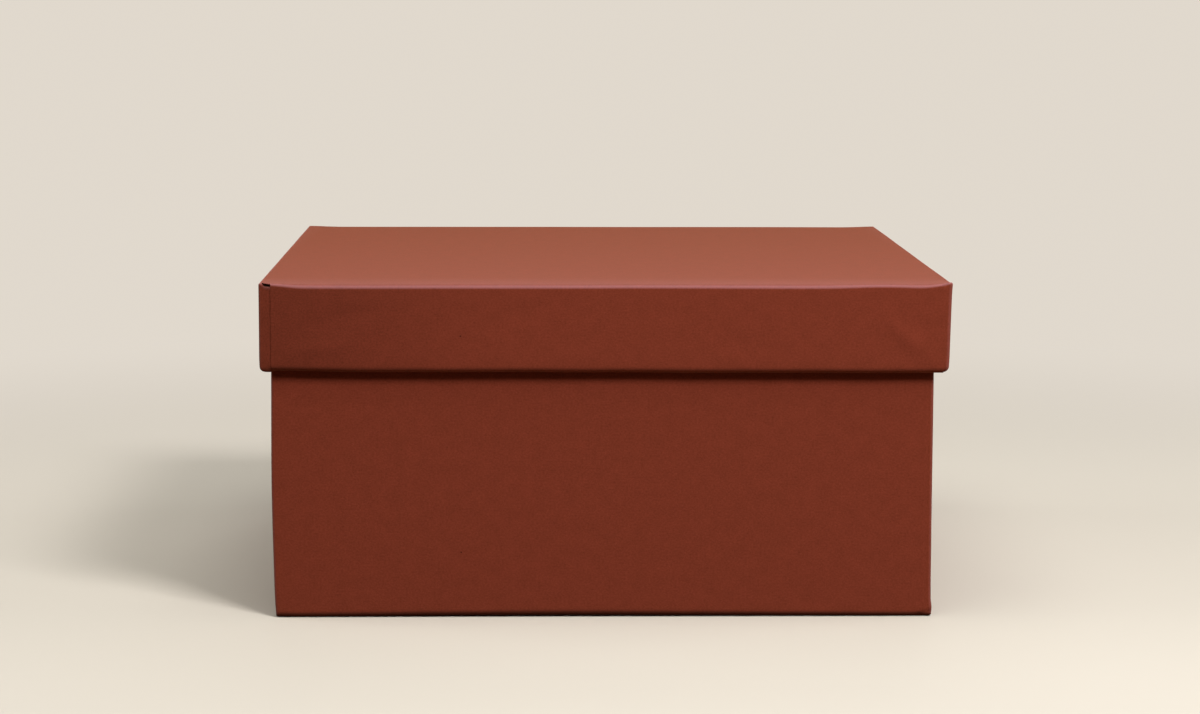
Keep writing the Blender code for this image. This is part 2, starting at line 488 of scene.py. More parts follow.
def face_wear_and_highlight(tray, x, y):
    """How pale a place on the closed face is: a painted highlight band at the front edge, painted light
    that grows towards the front, and scuffing along all its folds.
    """
    # The front band is a painted highlight, and the rise towards the front is painted light
    front_highlight = 1 - ease(BAND_START_SHARE * FRONT_HIGHLIGHT_BAND, FRONT_HIGHLIGHT_BAND, tray.half_y + y)
    inset = min(tray.half_x - abs(x), tray.half_y - y)
    other_rub = OTHER_SHARE * (1 - ease(BAND_START_SHARE * OTHER_RUB, OTHER_RUB, inset))
    front_light = FRONT_LIGHT_SHARE * (0.5 - 0.5 * y / tray.half_y) ** FRONT_LIGHT_POWER
    return tray.wear_and_highlight_level * CROWN_WEAR_AND_HIGHLIGHT * max(front_light + (1 - front_light) * front_highlight, other_rub)


def add_closed_face(sheet, columns):
    """The panel that the flaps hang from."""
    tray = sheet.tray
    rows = [[(x, y, 0.0, x, y, face_wear_and_highlight(tray, x, y), 0.0) for x in columns] for y in closed_rows(tray)]
    sheet.grid(rows, flip=False)


def add_end_flap(sheet, end, columns):
    """The front or back flap, outermost over the side flaps' tabs."""
    tray = sheet.tray
    way = -1 if end == "front" else 1
    left = tray.flap_end(-1, end)
    right = tray.flap_end(1, end)
    inner_edge = tray.half_x - tray.wall - GLUE_FILM
    own = [x for x in columns if left - WELD <= x <= right + WELD]
    rows = []
    for row in flap_rows(tray):
        inward = {RIM_INSIDE: row[1], INSIDE: 1.0}.get(row[0], 0.0)
        line = []
        for x in own:
            inset, depth, along = profile(tray, row, tray.rim(end, x), tray.end_fold)
            inner_x = lerp(-inner_edge, inner_edge, (x - left) / (right - left))
            near_left = bell(left, SPACING, x)
            near_right = bell(right, SPACING, x)
            slant = near_right * tray.corners[1, end].slant - near_left * tray.corners[-1, end].slant
            wander = slant * max(0.0, depth - tray.end_fold) / tray.height
            if row[0] == SKIRT:
                uneven = EDGE_WANDER * noise.noise(Vector((depth / WANDER_WAVE, x, way)))
                wander += uneven * (near_left + near_right)
            y = way * (tray.half_y - inset)
            v = way * (tray.half_y - tray.end_fold + along)
            line.append((lerp(x, inner_x, inward) + wander, y, depth, x, v, fold_wear_and_highlight(tray, row), 0.0))
        rows.append(line)
    sheet.grid(rows, flip=end == "front")


def notch_point(share):
    """(inset, depth, grime, wear) at that share of the notch's outline."""
    place = share * (len(NOTCH_OUTLINE) - 1)
    index = min(int(place), len(NOTCH_OUTLINE) - 2)
    before, after = NOTCH_OUTLINE[index], NOTCH_OUTLINE[index + 1]
    return tuple(lerp(a, b, place - index) for a, b in zip(before, after))


def corner_point(tray, side, end, row, angle, passed):
    """A point on the way round an upright corner, at an angle of its rounding or past it on the tab."""
    zone, share = row
    way = -1 if end == "front" else 1
    corner = tray.corners[side, end]
    turned = angle / QUARTER_TURN
    opened = ease(0.0, NOTCH_FADE, passed) if corner.notched else 0.0
    own_fold = lerp(tray.side_fold, tray.end_fold, turned)
    fold = lerp(own_fold, NOTCH_DEPTH, opened)
    strip = corner.short - tray.side_fold
    side_rim = tray.height + tray.side_drop
    flap_rim = tray.rim(end, tray.flap_end(side, end))
    rim_depth = side_rim
    if strip > WELD:
        rim_depth = lerp(side_rim, flap_rim, ease(RIM_STEP_SHARE * strip, strip, passed))
    inset, depth, along = profile(tray, row, rim_depth, fold)
    side_inset = inset
    pressed = 1 + PRESS_SHARE * noise.noise(Vector((depth / PRESS_WAVE, side, way)))
    edge = corner.edge * turned * pressed
    face_inset = edge + inset * (tray.wall - 2 * edge) / tray.wall
    reach = max(corner.radius - inset, INNER_CORNER)
    # A painted shadow line, with soil, on the tab's strip along the flap's cut edge
    seam = ease(strip - SEAM_WIDTH, strip, passed)
    shade_and_soil = SEAM_SHADE_AND_SOIL * min(1.0, corner.edge / FULL_EDGE) * seam
    wear_and_highlight = max(fold_wear_and_highlight(tray, row), CORNER_WEAR * math.sin(2 * angle))
    if zone == BEND:
        opening = share * QUARTER_TURN
        side_inset = tray.side_fold * (1 - math.sin(opening))
        face_inset = tray.end_fold * (1 - math.sin(opening)) + edge * math.sin(opening)
        depth = own_fold * (1 - math.cos(opening))
        reach = corner.radius * math.sin(opening)
        # In the notch, the pocket is darkened to paint its shade and the edges are paled to paint their
        # highlight
        notch_inset, notch_depth, notch_shade, notch_wear_and_highlight = notch_point(share)
        face_inset = lerp(face_inset, notch_inset, opened)
        depth = lerp(depth, notch_depth, opened)
        shade_and_soil = lerp(shade_and_soil, notch_shade, opened)
        wear_and_highlight = lerp(wear_and_highlight, notch_wear_and_highlight, opened)
    x = tray.half_x - side_inset - reach + reach * math.cos(angle) - passed
    y = tray.half_y - face_inset - reach + reach * math.sin(angle)
    u = side * (tray.half_x - tray.side_fold + along)
    v = way * (tray.half_y - tray.side_fold + tray.side_fold * angle + passed)
    return side * x, way * y, depth, u, v, wear_and_highlight, shade_and_soil


def tab_path(tray, side, end, columns):
    """(angle, distance passed) from a side flap's last straight place to the end of its visible strip."""
    edge = tray.half_x - tray.side_fold
    flap_end = abs(tray.flap_end(side, end))
    places = sorted(edge - side * x for x in columns if flap_end - WELD <= side * x < edge - WELD)
    path = [(share * QUARTER_TURN, 0.0) for share in shares(CORNER_COLUMNS)]
    return path + [(QUARTER_TURN, passed) for passed in places]


def add_side_flap(sheet, side, columns):
    """A side flap with the tabs that pass round its two upright corners."""
    tray = sheet.tray
    side_rim = tray.height + tray.side_drop
    inner_share = (tray.half_y - tray.wall - INNER_CORNER) / (tray.half_y - tray.end_fold)
    front_path = tab_path(tray, side, "front", columns)
    back_path = tab_path(tray, side, "back", columns)
    rows = []
    for row in flap_rows(tray):
        line = [corner_point(tray, side, "front", row, *spot) for spot in reversed(front_path)]
        inset, depth, along = profile(tray, row, side_rim, tray.side_fold)
        drawn_in = 1.0 if row[0] == BEND else lerp(1.0, inner_share, inset / tray.wall)
        x = side * (tray.half_x - inset)
        u = side * (tray.half_x - tray.side_fold + along)
        wear_and_highlight = fold_wear_and_highlight(tray, row)
        line += [(x, y * drawn_in, depth, u, y, wear_and_highlight, 0.0) for y in closed_rows(tray)[1:-1]]
        line += [corner_point(tray, side, "back", row, *spot) for spot in back_path]
        rows.append(line)
    sheet.grid(rows, flip=side > 0)
    for end, path in (("front", front_path), ("back", back_path)):
        add_tuck(sheet, side, end, path[-1][1])


def add_tuck(sheet, side, end, shown):
    """The end of a tab, hidden under the front or back flap."""
    tray = sheet.tray
    hidden_from = POCKET_START if tray.corners[side, end].notched else 1 / FOLD_ROWS
    rows = []
    for row in flap_rows(tray):
        if row[0] == SKIRT or (row[0] == BEND and row[1] >= hidden_from):
            spots = [(QUARTER_TURN, shown + tucked) for tucked in steps(0.0, TAB_TUCK, TAB_TUCK / 3)]
            rows.append([corner_point(tray, side, end, row, *spot) for spot in spots])
    sheet.grid(rows, flip=(side > 0) == (end == "back"))


def build_cover(tray, name):
    """The one-piece covering paper of a tray."""
    sheet = Sheet(tray)
    columns = closed_columns(tray)
    add_closed_face(sheet, columns)
    for end in ("front", "back"):
        add_end_flap(sheet, end, columns)
    for side in (-1, 1):
        add_side_flap(sheet, side, columns)
    return sheet.finish(name, PAPER)


def ripple(tray, amplitude, length, seed):
    """A slow waviness of the outside of a tray."""
    offset = Vector((seed, -seed, seed / 2))

    def warp(point):
        return amplitude * tray.outside_share(point) * noise.noise_vector(point / length + offset)

    return warp


def press(tray, centre, reach, push, stretch=(1, 1, 1), turn=0.0):
    """A soft local push of the outside, which can be stretched along each axis and turned about y."""
    centre = Vector(centre)
    push = Vector(push)
    turned = Matrix.Rotation(math.radians(turn), 3, "Y")

    def warp(point):
        away = turned @ (point - centre)
        away = Vector((away.x / stretch[0], away.y / stretch[1], away.z / stretch[2])).length / reach
        return push * math.exp(-(away**2)) * tray.outside_share(point)

    return warp


def crown(tray, end, fade, drop, gentle=CROWN_SHARE):
    """Bends the closed face inward towards one end's fold by drop(x): gently, then more at the edge."""
    way = -1 if end == "front" else 1

    def warp(point):
        inset = max(0.0, tray.half_y - way * point.y)
        if inset > CROWN_REACH:
            return Vector()
        steep_share = max(0.0, 1 - inset / CROWN_EDGE) ** 2
        gentle_share = (1 - inset / CROWN_REACH) ** CROWN_POWER
        slope = lerp(steep_share, gentle_share, gentle)
        held = 1 - ease(0.0, fade, tray.depth_of(point))
        return Vector((0, 0, tray.up * drop(point.x) * slope * held * tray.outside_share(point)))

    return warp


def curl(tray, reach, amount):
    """Draws the outside of the skirt in, more and more towards the rim."""

    def warp(point):
        share = max(0.0, (tray.depth_of(point) - tray.height) / reach + 1) ** 2
        inward = Vector((-point.x / tray.half_x, -point.y / tray.half_y, 0))
        return inward * (amount * share * tray.outside_share(point))

    return warp


def lean(tray, low_shift, high_shift, side):
    """Shifts one side of the outside along x, by amounts for the bottom and the top of the tray."""

    def warp(point):
        bottom = min(tray.closed_z, tray.closed_z + tray.up * tray.height)
        share = (point.z - bottom) / tray.height
        start, end = (bound * tray.half_x for bound in LEAN_SHARES)
        near = ease(start, end, side * point.x)
        return Vector((lerp(low_shift, high_shift, share) * near * tray.outside_share(point), 0, 0))

    return warp


def read_tray(wrap, board, up):
    """Sizes of a tray, from the frame."""
    low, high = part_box(wrap)
    board_low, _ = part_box(board)
    sizes = dict(half_x=high.x, half_y=high.y, height=high.z - low.z, up=up)
    sizes["closed_z"] = low.z if up > 0 else high.z
    sizes["wall"] = high.x - board_low.x + GLUE_FILM + PAPER
    return sizes


# The base's own shape: arches as (amount, centre, reach), leans at the bottom and at the rim, its left
# side's bulge as (height, reach, push, stretch), and its waviness as (size, length, offset)
BASE_FRONT_ARCH = (0.55 * MM, -6 * MM, 52 * MM)
BASE_BACK_ARCH = (0.3 * MM, 10 * MM, 50 * MM)
BASE_FRONT_SEAT = 0.02 * MM
BASE_FRONT_FADE = 7 * MM
BASE_BACK_FADE = 6 * MM
BASE_ARCH_SHARE = 0.75
BASE_LEFT_LEAN = (0.0, -0.45 * MM)
BASE_RIGHT_LEAN = (0.0, -0.2 * MM)
BASE_BULGE = (32 * MM, 24 * MM, (-0.62 * MM, 0, 0), (1, 6, 1))
BASE_RIPPLE = (0.07 * MM, 40 * MM, 3.1)
BASE_FRONT_RISE = 0.05 * MM
BASE_BACK_RISE = 0.1 * MM

# Small knocks at the base's lower front corners as (side, inset, height, reach, push, stretch)
BASE_KNOCKS = (
    (-1, 0.0, 0.0, 2.6 * MM, (0.2 * MM, 0.1 * MM, 0.1 * MM), (1, 1, 1.3)),
    (1, 0.0, 2.0 * MM, 1.0 * MM, (0.35 * MM, -0.1 * MM, 0), (1, 1, 1.6)),
    (1, 0.4 * MM, 1.3 * MM, 0.5 * MM, (0, 0.25 * MM, 0.1 * MM), (1, 1, 1)),
    (1, 1.5 * MM, 1.9 * MM, 0.5 * MM, (0, -0.12 * MM, 0), (1, 1, 1)),
    (1, 2.9 * MM, 0.3 * MM, 0.6 * MM, (0, 0.3 * MM, 0.25 * MM), (1, 1, 1)),
)


def base_front_arch(x):
    """How far the base's bottom rises towards its front edge."""
    amount, centre, reach = BASE_FRONT_ARCH
    return amount * bell(centre, reach, x) - BASE_FRONT_SEAT


def base_back_arch(x):
    """How far the base's bottom rises towards its back edge."""
    amount, centre, reach = BASE_BACK_ARCH
    return amount * bell(centre, reach, x)


def make_base_tray():
    """The base, which leans a little to the left and stands on a bottom with an arched front edge."""
    base = Tray(
        **read_tray("base_wrap", "base_right_wall_board", up=1),
        turn_end=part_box("base_wall_lining")[1].z - LINING_OVERLAP,
        side_fold=0.5 * MM,
        end_fold=1.5 * MM,
        side_drop=0.0,
        wear_and_highlight_level=0.1,
        row_spacing=SPACING,
        dented=(),
        corners={
            (-1, "front"): Corner(radius=0.6 * MM, short=0.55 * MM, edge=0.02 * MM),
            (1, "front"): Corner(radius=0.7 * MM, short=2.7 * MM, edge=0.03 * MM, slant=1.1 * MM),
            (-1, "back"): Corner(radius=0.8 * MM, short=2.6 * MM, slant=-0.5 * MM),
            (1, "back"): Corner(radius=0.7 * MM, short=0.8 * MM, edge=0.03 * MM),
        },
        rim_rise={"front": lambda x: BASE_FRONT_RISE, "back": lambda x: BASE_BACK_RISE},
        darkened_corners=[],
    )
    bulge_height, *bulge = BASE_BULGE
    base.warps = [
        crown(base, "front", BASE_FRONT_FADE, base_front_arch, BASE_ARCH_SHARE),
        crown(base, "back", BASE_BACK_FADE, base_back_arch),
        lean(base, *BASE_LEFT_LEAN, side=-1),
        lean(base, *BASE_RIGHT_LEAN, side=1),
        press(base, (-base.half_x, 0, bulge_height), *bulge),
        ripple(base, *BASE_RIPPLE),
    ]
    for side, inset, height, reach, push, stretch in BASE_KNOCKS:
        place = (side * (base.half_x - inset), -base.half_y, height)
        base.warps.append(press(base, place, reach, push, stretch))
    return base


# How far the lid's top slopes down to its front edge, where it does so less as (amount, centre, reach), and
# between which places it comes back to the corners
LID_DROP = 0.82 * MM
LID_DROP_RIGHT = (0.36 * MM, 64 * MM, 9 * MM)
LID_DROP_MIDDLE = (0.12 * MM, 10 * MM, 20 * MM)
LID_DROP_STARTS = (-80 * MM, -69 * MM)
LID_DROP_ENDS = (72 * MM, 80 * MM)
LID_BACK_DROP = 0.5 * MM
LID_BACK_DROP_ENDS = (70 * MM, 80 * MM)
LID_FADE = 6 * MM

# The lid's lean at the rim and at the top, its rim's curl as (reach, amount), its waviness as (size,
# length, offset), and its darkened corners: painted shade over much of its front's left part, and soil at
# the back right
LID_LEAN = (0.17 * MM, 0.6 * MM)
LID_CURL = (3.6 * MM, 0.12 * MM)
LID_RIPPLE = (0.06 * MM, 35 * MM, 7.7)
LID_DARKENED_CORNERS = [(-1, -1, 62 * MM, 0.24), (1, 1, 40 * MM, 0.12)]

# The lid's front rim: how far it hangs below the lid's own depth, how much less at the left and more at the
# right, between which places, and the height and length of its waves
LID_RIM_HANG = 0.4 * MM
LID_RIM_LEFT = 0.35 * MM
LID_RIM_LEFT_ENDS = (-80 * MM, -50 * MM)
LID_RIM_RIGHT = 0.18 * MM
LID_RIM_RIGHT_STARTS = (-20 * MM, 40 * MM)
LID_RIM_UNEVEN = (0.07 * MM, 14 * MM)
LID_BACK_RISE = 0.15 * MM

# Small knocks at the lid's upper front corners as (side, inset, inset from the front, drop, reach, push)
LID_KNOCKS = (
    (1, 0.0, 0.0, 0.0, 1.6 * MM, (0.15 * MM, 0, 0.3 * MM)),
    (-1, 1.3 * MM, 0.0, 0.0, 0.9 * MM, (0, 0, 0.15 * MM)),
    (1, 1.25 * MM, 0.3 * MM, 0.3 * MM, 0.4 * MM, (0, 0.3 * MM, -0.2 * MM)),
)

# Soft dents of the lid's front as (x, z, reach, push inward, stretch along x, turn in degrees)
LID_DENTS = (
    (71 * MM, 66 * MM, 2.6 * MM, -0.24 * MM, 2.8, -41),
    (-66 * MM, 64 * MM, 2.4 * MM, -0.2 * MM, 3.2, 5),
    (-61 * MM, 71.3 * MM, 2.2 * MM, 0.14 * MM, 2.6, 12),
    (-20 * MM, 72 * MM, 3.4 * MM, 0.08 * MM, 3.5, 8),
    (35 * MM, 64 * MM, 3.0 * MM, 0.07 * MM, 3.0, -10),
)
LID_DENT_FLATNESS = 0.8
LID_DENTED_SPANS = ((-77 * MM, -50 * MM), (58 * MM, 79 * MM))


def lid_front_drop(x):
    """How far the lid's top slopes down to its front edge: wavy, and less at the corners."""
    full = LID_DROP
    for amount, centre, reach in (LID_DROP_RIGHT, LID_DROP_MIDDLE):
        full -= amount * bell(centre, reach, x)
    return full * ease(*LID_DROP_STARTS, x) * (1 - ease(*LID_DROP_ENDS, x))


def lid_back_drop(x):
    """How far the lid's top slopes down to its back edge."""
    return LID_BACK_DROP * (1 - ease(*LID_BACK_DROP_ENDS, abs(x)))


def lid_front_rise(x):
    """How far the lid's front rim stands above the lid's depth, a little unevenly."""
    left = LID_RIM_LEFT * (1 - ease(*LID_RIM_LEFT_ENDS, x))
    right = LID_RIM_RIGHT * ease(*LID_RIM_RIGHT_STARTS, x)
    return left - right - LID_RIM_HANG + waves(*LID_RIM_UNEVEN, (x, 0, 0))


def make_lid_tray():
    """The lid, whose papers are loose at its front corners."""
    sizes = read_tray("lid_wrap", "lid_right_wall_board", up=-1)
    top_board_low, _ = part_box("lid_top_board")
    lid = Tray(
        **sizes,
        turn_end=sizes["closed_z"] - top_board_low.z + 3 * GLUE_FILM,
        side_fold=0.5 * MM,
        end_fold=LID_END_FOLD,
        side_drop=0.4 * MM,
        wear_and_highlight_level=1.0,
        row_spacing=DENT_SPACING,
        dented=LID_DENTED_SPANS,
        corners={
            (-1, "front"): Corner(radius=0.5 * MM, short=2.75 * MM, edge=0.12 * MM, notched=True),
            (1, "front"): Corner(radius=0.98 * MM, short=1.2 * MM, edge=0.02 * MM),
            (-1, "back"): Corner(radius=0.9 * MM, short=1.1 * MM, edge=0.03 * MM),
            (1, "back"): Corner(radius=0.6 * MM, short=2.2 * MM),
        },
        rim_rise={"front": lid_front_rise, "back": lambda x: LID_BACK_RISE},
        darkened_corners=LID_DARKENED_CORNERS,
    )
    lid.warps = [
        crown(lid, "front", LID_FADE, lid_front_drop),
        crown(lid, "back", LID_FADE, lid_back_drop),
        lean(lid, *LID_LEAN, side=1),
        curl(lid, *LID_CURL),
        ripple(lid, *LID_RIPPLE),
    ]
    for side, inset, front_inset, drop, reach, push in LID_KNOCKS:
        place = (side * (lid.half_x - inset), -lid.half_y + front_inset, lid.closed_z - drop)
        lid.warps.append(press(lid, place, reach, push))
    for x, z, reach, inward, wide, turn in LID_DENTS:
        stretch = (wide, 1, LID_DENT_FLATNESS)
        lid.warps.append(press(lid, (x, -lid.half_y, z), reach, (0, inward, 0), stretch, turn))
    return lid


def paper_mesh(rows, flip):
    """A mesh of one grid of (place, (u, v)) points."""
    bm = bmesh.new()
    paper = bm.verts.layers.float_vector.new("paper")
    made = []
    for row in rows:
        line = []
        for place, (u, v) in row:
            vert = bm.verts.new(place)
            vert[paper] = Vector((u, v, 0.0))
            line.append(vert)
        made.append(line)
    join_rows(bm, made, flip)
    return make_mesh("paper", bm)


def build_panel_lining(node, facing):
    """A flat lining paper, cut a little unevenly, with edges that lift slightly."""
    low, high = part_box(node)
    face_z = high.z if facing > 0 else low.z
    seed = PANEL_SEEDS[facing]
    rows = []
    for y in graded(-high.x, high.x):
        line = []
        for x in graded(-high.x, high.x):
            inwards = 1 - (LINING_TRIM + waves(*PANEL_CUT, (x, y, seed))) / high.x
            edge = ease(LINING_EDGE_START_SHARE, 1.0, max(abs(x), abs(y)) / high.x)
            lift = lerp(waves(*PANEL_COCKLE, (x, y, seed)), LINING_EDGE_LIFT, edge)
            line.append((Vector((x * inwards, y * inwards, face_z + facing * lift)), (x, y)))
        rows.append(line)
    return thicken(node + "_paper", paper_mesh(rows, flip=facing < 0), LINING_PAPER)


def wall_ring(half):
    """(place, inward direction, length) round the inside of the walls, and on over the lap."""
    ring = []
    length = 0.0
    straight = half - LINING_CORNER
    for quarter in range(4):
        turn = Matrix.Rotation(quarter * QUARTER_TURN, 2)
        outward = turn @ Vector((-1, 0))
        run = turn @ Vector((0, -1))
        middle = outward * half
        for place in graded(-straight, straight):
            ring.append((middle + run * place, -outward, length + place + straight))
        length += 2 * straight
        centre = outward * straight + run * straight
        for share in shares(LINING_CORNER_COLUMNS)[1:-1]:
            bent = Matrix.Rotation(share * QUARTER_TURN, 2) @ outward
            along = length + LINING_CORNER * QUARTER_TURN * share
            ring.append((centre + LINING_CORNER * bent, -bent, along))
        length += LINING_CORNER * QUARTER_TURN
    start, inward, _ = ring[0]
    for place in steps(0.0, LINING_LAP, 2 * FINE_SPACING):
        ring.append((start + Vector((0, -1)) * place, inward, length + place))
    return ring, length


def build_wall_lining(tray):
    """The paper round the inside of the base's walls, stepping over the turned-in covering."""
    low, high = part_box("base_wall_lining")
    ring, length = wall_ring(high.x - LINING_PAPER)
    jog = tray.turn_end - LINING_JOG
    heights = steps(low.z, jog, SPACING) + steps(jog, tray.turn_end, LINING_JOG / 4)[1:]
    heights += steps(tray.turn_end, high.z, SPACING / 2)[1:]
    rows = []
    for z in heights:
        line = []
        for spot, inward, along in ring:
            stepped = (PAPER + GLUE_FILM) * ease(jog, tray.turn_end, z)
            lapped = LINING_LAP_RISE * ease(length - LINING_LAP_EASE, length, along)
            cockle = (WALL_COCKLE[0] + waves(*WALL_COCKLE, (along, z, 0))) / 2
            place = spot + inward * (stepped + lapped + cockle)
            uneven = waves(*WALL_CUT, (along, 0, WALL_SEED)) - WALL_CUT[0] / 2
            top = z + uneven * ease(tray.turn_end, high.z, z)
            line.append((Vector((*place, top)), (along, z)))
        rows.append(line)
    return thicken("base_wall_lining_paper", paper_mesh(rows, flip=True), LINING_PAPER)


# Colours of the materials: the darkest and lightest of each grain, then specks, the pale colour of scuffing
# and painted highlight, and the near-black colour of soil and painted shade
TERRACOTTA = ((0.139, 0.0255, 0.0122), (0.226, 0.0412, 0.0225))
TERRACOTTA_PALE_SPECK = (0.4, 0.13, 0.08)
TERRACOTTA_DARK_SPECK = (0.05, 0.01, 0.006)
# The pale colour paints highlight as well as scuffing; the near-black one paints shade as well as soil
TERRACOTTA_WEAR_AND_HIGHLIGHT = (0.47, 0.245, 0.285)
DARK_SOIL_AND_SHADE = (0.006, 0.002, 0.0015)
CREAM = ((0.70, 0.65, 0.56), (0.80, 0.76, 0.68))
CREAM_SPECK = (0.5, 0.42, 0.32)
GREY = ((0.26, 0.235, 0.20), (0.40, 0.365, 0.32))
GREY_DARK_FLECK = (0.12, 0.11, 0.10)
GREY_PALE_FLECK = (0.55, 0.53, 0.48)
KRAFT = ((0.30, 0.175, 0.09), (0.42, 0.265, 0.15))

# Grain of the materials, in waves per metre
PAPER_FIBRES = dict(scale=2000.0, roughness=0.65, stretch=(1.0, 1.2, 1.0))
PAPER_CLOUDS = dict(scale=300.0, detail=3.0)
PAPER_CLOUD_SHARE = 0.22
LINING_FIBRES = dict(scale=1100.0, stretch=(1.0, 2.0, 1.0))
LINING_CLOUDS = dict(scale=90.0, detail=3.0, roughness=0.5)
LINING_CLOUD_SHARE = 0.4
BOARD_FIBRES = dict(scale=700.0, detail=6.0, roughness=0.7)
TAPE_FIBRES = dict(scale=1800.0, stretch=(1.0, 1.0, 0.12))

# Specks: cells per metre, the share of cells that hold one, and its size as a share of its cell
PAPER_PALE_SPECKS = dict(scale=160.0, share=0.05, size=0.03)
PAPER_DARK_SPECKS = dict(scale=120.0, share=0.04, size=0.03)
LINING_SPECKS = dict(scale=220.0, share=0.06, size=0.05)
BOARD_DARK_FLECKS = dict(scale=400.0, share=0.25, size=0.2)
BOARD_PALE_FLECKS = dict(scale=330.0, share=0.15, size=0.18)
SPECK_CORE_SHARE = 0.4

# The covering paper: the share of its pale colour of scuffing and painted highlight at a level of 1, and
# the faint sheen of its fibres
WEAR_AND_HIGHLIGHT_SHARE = 0.18
SHEEN_WEIGHT = 0.085
SHEEN_ROUGHNESS = 0.6
SHEEN_TINT = (1.0, 0.72, 0.43, 1.0)

# Sockets of a Mix node: its factor, and its A, B and result as numbers and as colours
MIX_FACTOR = 0
NUMBER_A, NUMBER_B, NUMBER_OUT = 2, 3, 0
COLOUR_A, COLOUR_B, COLOUR_OUT = 6, 7, 2


def add_node(tree, kind, inputs=None, **settings):
    """Adds a shader node with its settings and its unlinked inputs."""
    made = tree.nodes.new(kind)
    for key, value in settings.items():
        setattr(made, key, value)
    for key, value in (inputs or {}).items():
        made.inputs[key].default_value = value
    return made


class Finish:
    """A material being made, with short ways to chain its nodes."""

    def __init__(self, name):
        self.material = bpy.data.materials.new(name)
        self.material.use_nodes = True
        self.tree = self.material.node_tree
        self.shader = self.tree.nodes["Principled BSDF"]

    def link(self, output, target):
        """Joins two sockets."""
        self.tree.links.new(output, target)

    def attribute(self, name):
        """The node of a mesh attribute."""
        return add_node(self.tree, "ShaderNodeAttribute", attribute_name=name)

    def noise(self, place, scale, detail=4.0, roughness=0.6, stretch=(1, 1, 1)):
        """Noise from 0 to 1, stretched along its axes."""
        mapping = add_node(self.tree, "ShaderNodeMapping", {"Scale": stretch})
        settings = {"Scale": scale, "Detail": detail, "Roughness": roughness}
        texture = add_node(self.tree, "ShaderNodeTexNoise", settings)
        self.link(place, mapping.inputs["Vector"])
        self.link(mapping.outputs["Vector"], texture.inputs["Vector"])
        return texture.outputs["Fac"]

    def specks(self, place, scale, share, size):
        """1 on small specks in that share of the cells, 0 elsewhere."""
        cells = add_node(self.tree, "ShaderNodeTexVoronoi", {"Scale": scale, "Randomness": 1.0})
        self.link(place, cells.inputs["Vector"])
        ends = {"From Min": size, "From Max": SPECK_CORE_SHARE * size}
        near = add_node(self.tree, "ShaderNodeMapRange", ends)
        self.link(cells.outputs["Distance"], near.inputs["Value"])
        split = add_node(self.tree, "ShaderNodeSeparateColor")
        self.link(cells.outputs["Color"], split.inputs["Color"])
        chosen = self.maths("GREATER_THAN", split.outputs["Red"], 1 - share)
        return self.maths("MULTIPLY", near.outputs["Result"], chosen)

    def maths(self, operation, a, b):
        """A maths node's result on two values or sockets."""
        made = add_node(self.tree, "ShaderNodeMath", operation=operation)
        for index, value in enumerate((a, b)):
            if isinstance(value, (int, float)):
                made.inputs[index].default_value = value
            else:
                self.link(value, made.inputs[index])
        return made.outputs["Value"]

    def blend(self, share, a, b):
        """Mixes two sockets."""
        made = add_node(self.tree, "ShaderNodeMix", {MIX_FACTOR: share}, data_type="FLOAT")
        self.link(a, made.inputs[NUMBER_A])
        self.link(b, made.inputs[NUMBER_B])
        return made.outputs[NUMBER_OUT]

    def ramp(self, value, dark, light, low=0.3, high=0.7):
        """A colour between two, by a value."""
        made = add_node(self.tree, "ShaderNodeValToRGB")
        for element, position, colour in zip(made.color_ramp.elements, (low, high), (dark, light)):
            element.position = position
            element.color = (*colour, 1.0)
        self.link(value, made.inputs["Fac"])
        return made.outputs["Color"]

    def tint(self, factor, under, colour):
        """Lays a colour over another by a factor."""
        made = add_node(self.tree, "ShaderNodeMix", {COLOUR_B: (*colour, 1.0)}, data_type="RGBA")
        self.link(factor, made.inputs[MIX_FACTOR])
        self.link(under, made.inputs[COLOUR_A])
        return made.outputs[COLOUR_OUT]

    def finish(self, colour, grain, roughness, bump, level):
        """Feeds the shader: colour, roughness range by grain, and bump height in metres."""
        self.link(colour, self.shader.inputs["Base Color"])
        ends = {"To Min": roughness[0], "To Max": roughness[1]}
        rough = add_node(self.tree, "ShaderNodeMapRange", ends)
        self.link(grain, rough.inputs["Value"])
        self.link(rough.outputs["Result"], self.shader.inputs["Roughness"])
        relief = add_node(self.tree, "ShaderNodeBump", {"Strength": 1.0, "Distance": bump})
        self.link(grain, relief.inputs["Height"])
        self.link(relief.outputs["Normal"], self.shader.inputs["Normal"])
        self.shader.inputs["Specular IOR Level"].default_value = level
        return self.material


